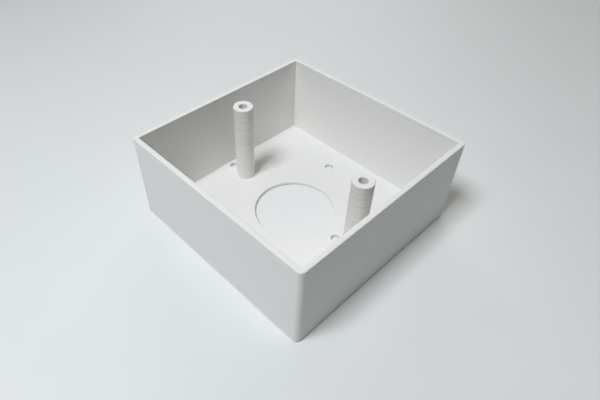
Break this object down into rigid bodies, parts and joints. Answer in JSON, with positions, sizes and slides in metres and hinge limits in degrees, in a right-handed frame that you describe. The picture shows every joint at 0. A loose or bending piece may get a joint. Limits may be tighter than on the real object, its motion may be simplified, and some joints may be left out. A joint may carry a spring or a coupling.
{
  "type": "wall mount box",
  "caption": "Square open-fronted surface wall box in one piece, with full-height screw posts, a round cable entry and wall-screw holes in its floor.",
  "frame": {"origin": "centre of the square back face, on the wall plane", "axes": "+Z out of the wall through the open front, X through both screw posts, with the wall-screw circle set towards -X"},
  "size_m": [0.086, 0.086, 0.0365],
  "materials": {
    "printed_plastic": "matte white plastic, printed in thin layers"
  },
  "bodies": {
    "root": {"mount_box": "printed_plastic"}
  },
  "joints": []
}
